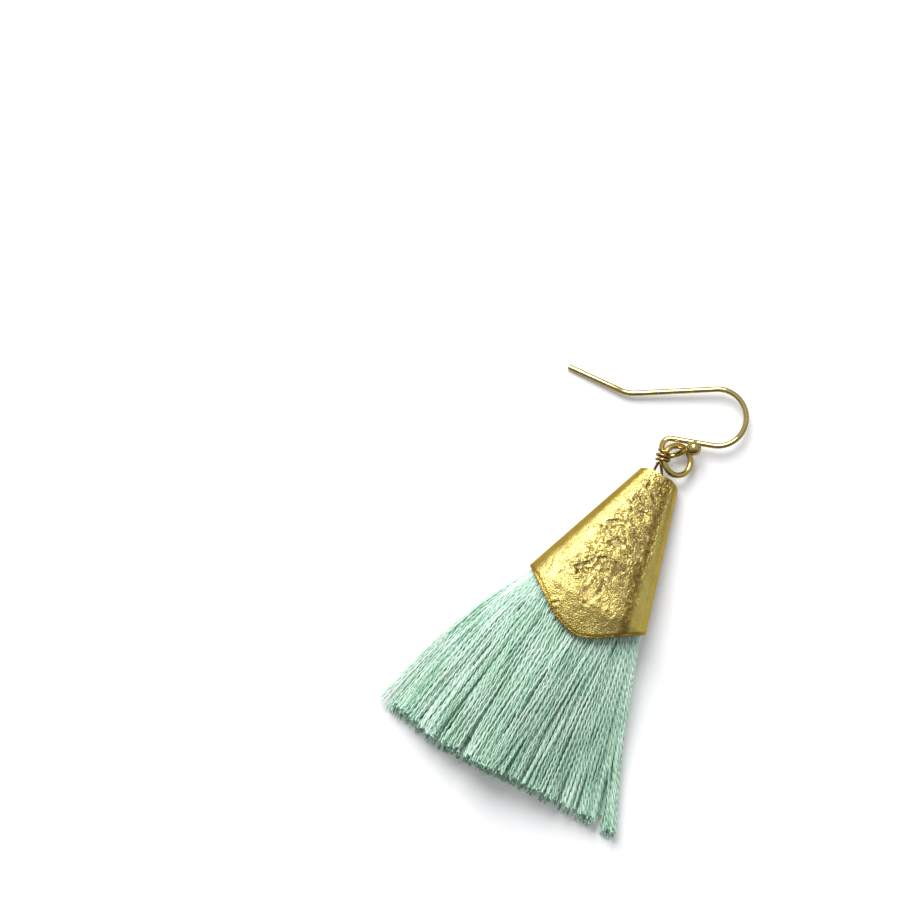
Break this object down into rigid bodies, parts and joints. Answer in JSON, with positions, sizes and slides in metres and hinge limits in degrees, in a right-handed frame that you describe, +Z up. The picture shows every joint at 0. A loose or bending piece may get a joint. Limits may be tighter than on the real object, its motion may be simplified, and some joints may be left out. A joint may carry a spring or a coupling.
{
  "type": "tassel earring",
  "caption": "Drop earring lying flat: ball-ended ear hook, jump ring, binding wire, flattened hammered brass cone cap and a fanned thread tassel.",
  "frame": {"origin": "middle of the whole earring's box in plan, on the surface it lies on", "axes": "+Y from the fringe towards the ear hook, along the cone's middle line; +Z up from the surface it lies on; +X to the right, the side of the hook's bow"},
  "size_m": [0.0386, 0.0632, 0.0086],
  "materials": {
    "brass_wire": "polished brass wire",
    "thin_wire": "polished coppery brass wire",
    "hammered_brass": "burnished hammered sheet with dark hollows",
    "thread": "glossy two-ply twisted thread, mint green"
  },
  "bodies": {
    "root": {"ear_hook": "brass_wire", "jump_ring": "brass_wire", "binding_wire": "thin_wire", "cone_cap": "hammered_brass", "tassel": "thread"}
  },
  "joints": []
}
